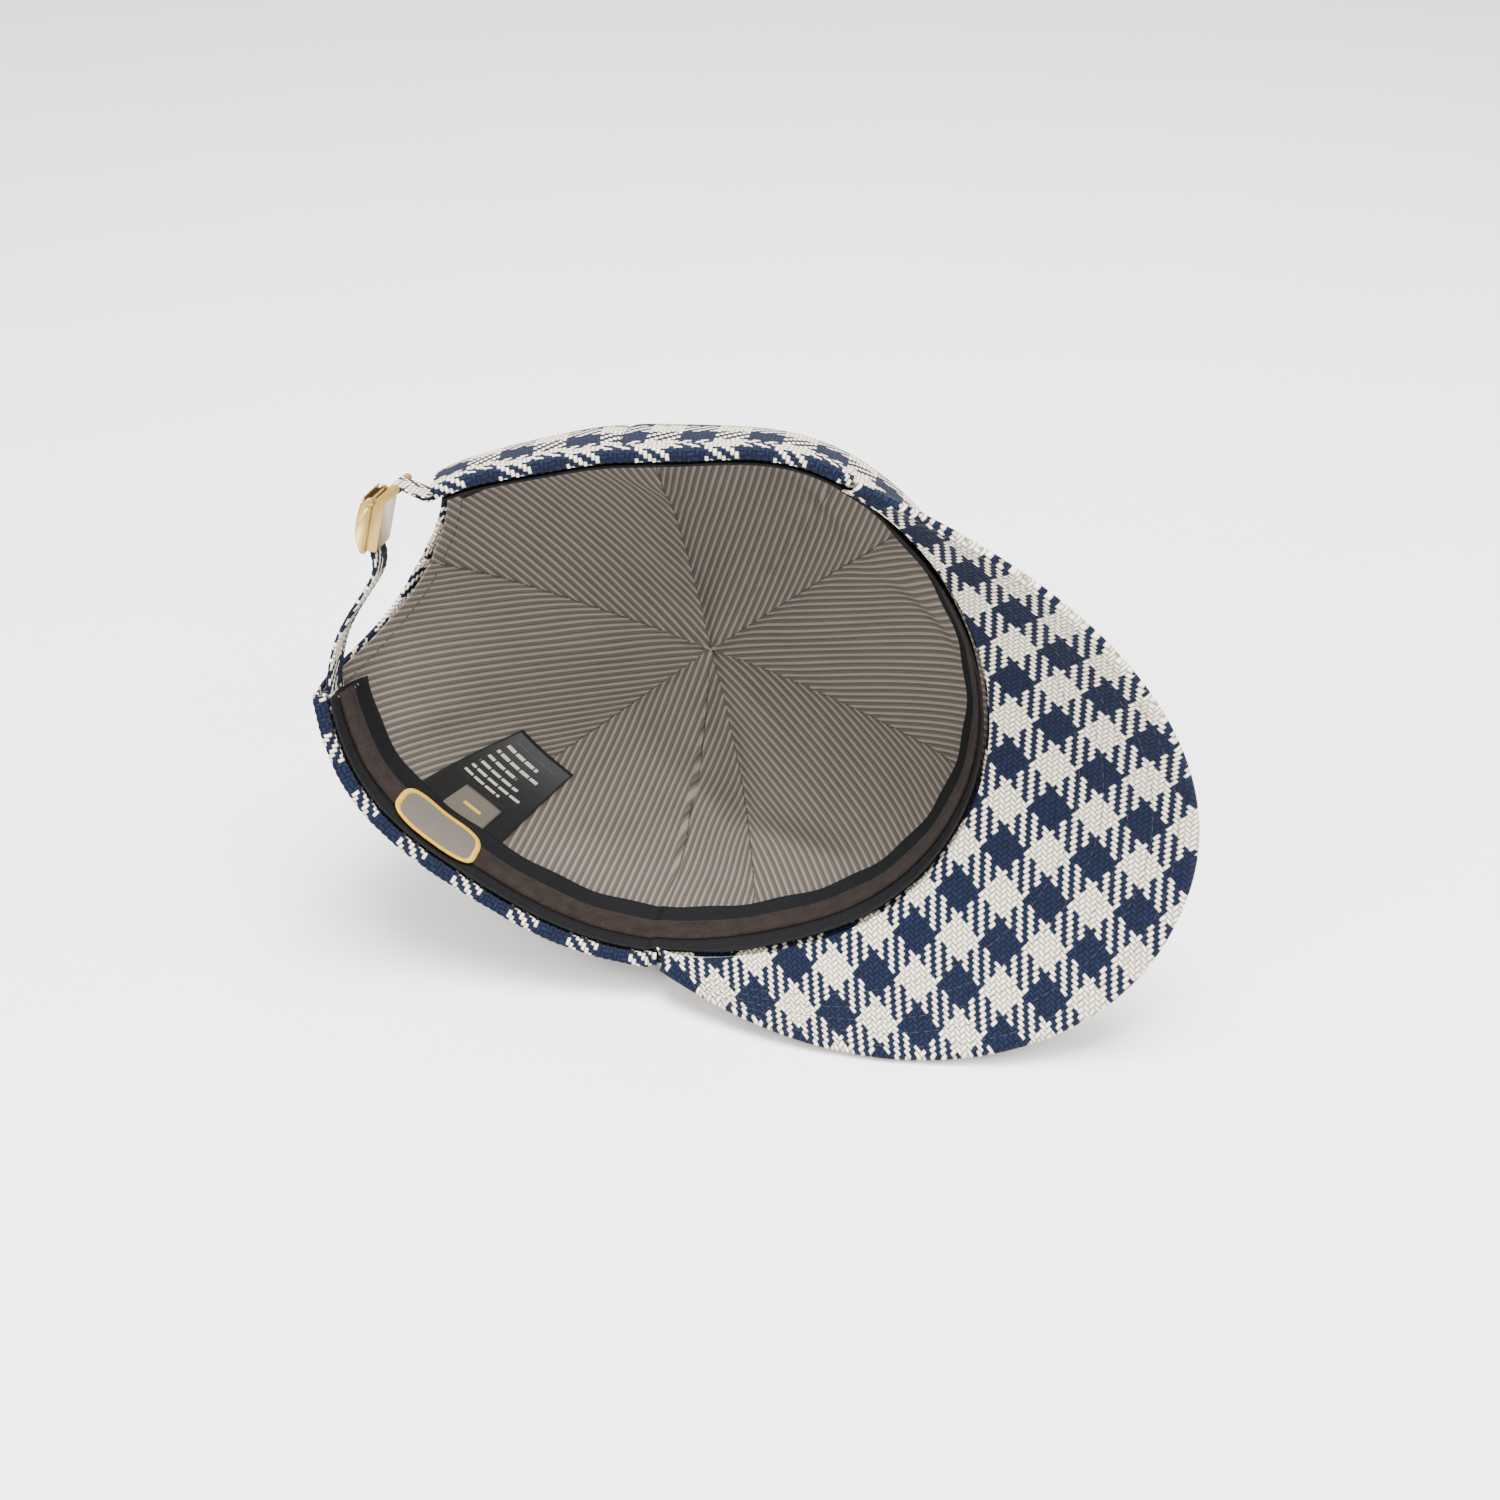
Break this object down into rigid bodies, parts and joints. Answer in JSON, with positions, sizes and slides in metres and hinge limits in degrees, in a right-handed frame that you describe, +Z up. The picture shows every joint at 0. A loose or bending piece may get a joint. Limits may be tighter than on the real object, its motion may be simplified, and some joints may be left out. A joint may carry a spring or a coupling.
{
  "type": "baseball cap",
  "caption": "Six-panel gingham cap with striped lining, stiff curved peak, black sweatband and a back strap with a flip-lever brass clasp, lying on its side with its opening forward",
  "frame": {"origin": "on the table, under the middle of the part's box", "axes": "+Z up from the table, +X towards the side the peak points to, -Y the way the open rim faces"},
  "size_m": [0.2698, 0.1658, 0.1722],
  "materials": {
    "gingham": "navy and cream check in a coarse 2/2 twill, 10.4 mm squares",
    "lining": "taupe fine twill with narrow light and dark stripes",
    "black_tape": "black cotton twill tape",
    "pile_strip": "dark brown-black pile",
    "patch_cloth": "grey-brown satin weave with a plain gold border",
    "board": "polyethylene stiffener",
    "brass": "polished gold-coloured brass",
    "steel": "plain stamped metal"
  },
  "bodies": {
    "cap": {"crown_front_left": "gingham", "crown_side_left": "gingham", "crown_back_left": "gingham", "crown_front_right": "gingham", "crown_side_right": "gingham", "crown_back_right": "gingham", "lining_front_left": "lining", "lining_side_left": "lining", "lining_back_left": "lining", "lining_front_right": "lining", "lining_side_right": "lining", "lining_back_right": "lining", "button_cover": "gingham", "button_shell": "steel", "button_prong": "steel", "rim_binding_left": "gingham", "rim_binding_right": "gingham", "peak_upper_cover": "gingham", "peak_board": "board", "peak_lower_cover": "gingham", "sweatband_tape": "black_tape", "sweatband_strip": "pile_strip", "maker_patch": "patch_cloth", "strap": "gingham", "strap_tab": "gingham", "clasp_frame": "brass", "clasp_pin": "brass"},
    "lever": {"clasp_lever": "brass"},
    "labels": {"care_label": "black_tape", "size_tag": "patch_cloth"}
  },
  "joints": [
    {"name": "clasp_flip", "type": "hinge", "parent": "cap", "child": "lever", "pos_m": [-0.11391, 0.00817, 0.15011], "axis": [0.0345, 0.9669, -0.2527], "range_deg": [0, 100]},
    {"name": "label_flap", "type": "hinge", "parent": "cap", "child": "labels", "pos_m": [-0.09962, -0.00197, 0.03518], "axis": [0.777, -0.185, -0.6017], "range_deg": [0, 50]}
  ]
}
